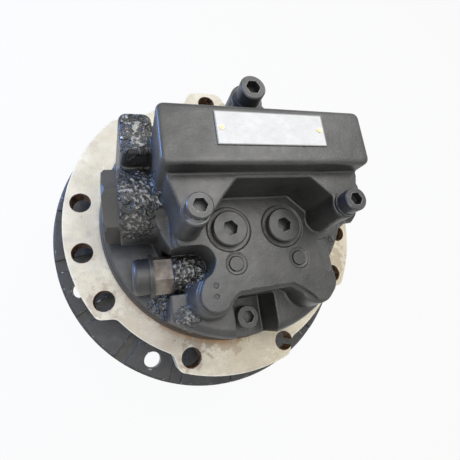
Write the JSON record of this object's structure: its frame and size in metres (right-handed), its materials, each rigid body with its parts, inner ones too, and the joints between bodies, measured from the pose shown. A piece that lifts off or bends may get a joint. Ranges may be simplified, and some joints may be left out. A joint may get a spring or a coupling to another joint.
{
  "type": "crawler excavator final drive",
  "caption": "Travel final drive: axial piston motor with valve block and parking brake in a casing with a lobed frame flange, driving a sprocket hub through planetary gears.",
  "frame": {"origin": "on the drive axis at the machined face of the frame flange, where the track frame's plate seats", "axes": "+Z along the drive axis towards the motor end, +Y from the port face to the valve block, +X along the valve block"},
  "size_m": [0.32, 0.32, 0.3213],
  "materials": {
    "cover_paint": "satin black paint on rough casting",
    "screw_paint": "satin black paint",
    "machined_iron": "machined, aged and lightly stained",
    "hub_paint": "worn semi-gloss black paint",
    "plate_metal": "bright blank plate",
    "rivet_brass": "polished",
    "seal_iron": "lapped",
    "seal_rubber": "matte",
    "bearing_steel": "ground",
    "gear_steel": "case hardened",
    "motor_steel": "ground",
    "spring_steel": "dark",
    "bronze": "lapped",
    "friction": "matte friction lining"
  },
  "bodies": {
    "casing": {"rear_cover": "cover_paint", "pilot_fitting": "cover_paint", "pilot_seal_washer": "cover_paint", "pilot_dust_cap": "cover_paint", "spool_end_plugs": "cover_paint", "cover_screws": "screw_paint", "lock_washers": "screw_paint", "port_plugs": "screw_paint", "expander_plugs": "screw_paint", "relief_valves": "screw_paint", "motor_casing": "machined_iron", "nameplate": "plate_metal", "nameplate_rivets": "rivet_brass", "fixed_seal_ring": "seal_iron", "fixed_seal_o_ring": "seal_rubber", "shaft_seal": "seal_rubber", "bearing_inner_races": "bearing_steel", "bearing_nut": "bearing_steel", "shaft_bearing": "bearing_steel", "rear_bearing": "bearing_steel", "planet_needles_2": "bearing_steel", "planet_pins_2": "gear_steel", "planet_washers_2": "gear_steel", "swash_plate": "motor_steel", "brake_plates": "motor_steel", "spring_seats": "motor_steel", "spool_springs": "spring_steel", "brake_springs": "spring_steel", "valve_plate": "bronze"},
    "hub_group": {"hub": "hub_paint", "ring_gear": "hub_paint", "end_cover": "hub_paint", "end_cover_screws": "hub_paint", "oil_plugs": "hub_paint", "thrust_pad": "gear_steel", "bearing_outer_races": "bearing_steel", "hub_seal_ring": "seal_iron", "hub_seal_o_ring": "seal_rubber"},
    "roller_train": {"bearing_rollers": "bearing_steel"},
    "carrier_group": {"carrier_1": "gear_steel", "sun_gear_2": "gear_steel", "planet_pins_1": "gear_steel", "planet_needles_1": "bearing_steel"},
    "motor_group": {"motor_shaft": "motor_steel", "sun_gear_1": "gear_steel", "cylinder_block": "motor_steel", "pistons": "motor_steel", "piston_shoes": "bronze", "retainer_plate": "motor_steel", "friction_discs": "friction"},
    "spool": {"counterbalance_spool": "motor_steel"},
    "brake_piston": {"brake_piston": "motor_steel"},
    "planet_1a": {"planet_gear_1a": "gear_steel"},
    "planet_2a": {"planet_gear_2a": "gear_steel"},
    "planet_1b": {"planet_gear_1b": "gear_steel"},
    "planet_2b": {"planet_gear_2b": "gear_steel"},
    "planet_1c": {"planet_gear_1c": "gear_steel"},
    "planet_2c": {"planet_gear_2c": "gear_steel"}
  },
  "joints": [
    {"name": "hub_spin", "type": "hinge", "parent": "casing", "child": "hub_group", "pos_m": [0, 0, 0], "axis": [0, 0, 1], "continuous": true},
    {"name": "roller_train_spin", "type": "hinge", "parent": "casing", "child": "roller_train", "pos_m": [0, 0, 0], "axis": [0, 0, 1], "continuous": true},
    {"name": "carrier_spin", "type": "hinge", "parent": "casing", "child": "carrier_group", "pos_m": [0, 0, 0], "axis": [0, 0, 1], "continuous": true},
    {"name": "motor_spin", "type": "hinge", "parent": "casing", "child": "motor_group", "pos_m": [0, 0, 0], "axis": [0, 0, 1], "continuous": true},
    {"name": "planet_1a_spin", "type": "hinge", "parent": "carrier_group", "child": "planet_1a", "pos_m": [0.0525, 0, 0], "axis": [0, 0, 1], "continuous": true},
    {"name": "planet_1b_spin", "type": "hinge", "parent": "carrier_group", "child": "planet_1b", "pos_m": [-0.02625, 0.04547, 0], "axis": [0, 0, 1], "continuous": true},
    {"name": "planet_1c_spin", "type": "hinge", "parent": "carrier_group", "child": "planet_1c", "pos_m": [-0.02625, -0.04547, 0], "axis": [0, 0, 1], "continuous": true},
    {"name": "planet_2a_spin", "type": "hinge", "parent": "casing", "child": "planet_2a", "pos_m": [0.05625, 0, 0], "axis": [0, 0, 1], "continuous": true},
    {"name": "planet_2b_spin", "type": "hinge", "parent": "casing", "child": "planet_2b", "pos_m": [-0.02813, 0.04871, 0], "axis": [0, 0, 1], "continuous": true},
    {"name": "planet_2c_spin", "type": "hinge", "parent": "casing", "child": "planet_2c", "pos_m": [-0.02813, -0.04871, 0], "axis": [0, 0, 1], "continuous": true},
    {"name": "spool_slide", "type": "slide", "parent": "casing", "child": "spool", "axis": [1, 0, 0], "range_m": [-0.006, 0.006]},
    {"name": "brake_slide", "type": "slide", "parent": "casing", "child": "brake_piston", "axis": [0, 0, 1], "range_m": [-0.0012, 0], "deforming": ["brake_springs"]}
  ],
  "couplings": [
    {"joint": "roller_train_spin", "follows": "hub_spin", "ratio": 0.52632},
    {"joint": "carrier_spin", "follows": "hub_spin", "ratio": -4},
    {"joint": "motor_spin", "follows": "hub_spin", "ratio": -34},
    {"joint": "planet_1a_spin", "follows": "hub_spin", "ratio": 12},
    {"joint": "planet_1b_spin", "follows": "hub_spin", "ratio": 12},
    {"joint": "planet_1c_spin", "follows": "hub_spin", "ratio": 12},
    {"joint": "planet_2a_spin", "follows": "hub_spin", "ratio": 2.6667},
    {"joint": "planet_2b_spin", "follows": "hub_spin", "ratio": 2.6667},
    {"joint": "planet_2c_spin", "follows": "hub_spin", "ratio": 2.6667}
  ]
}
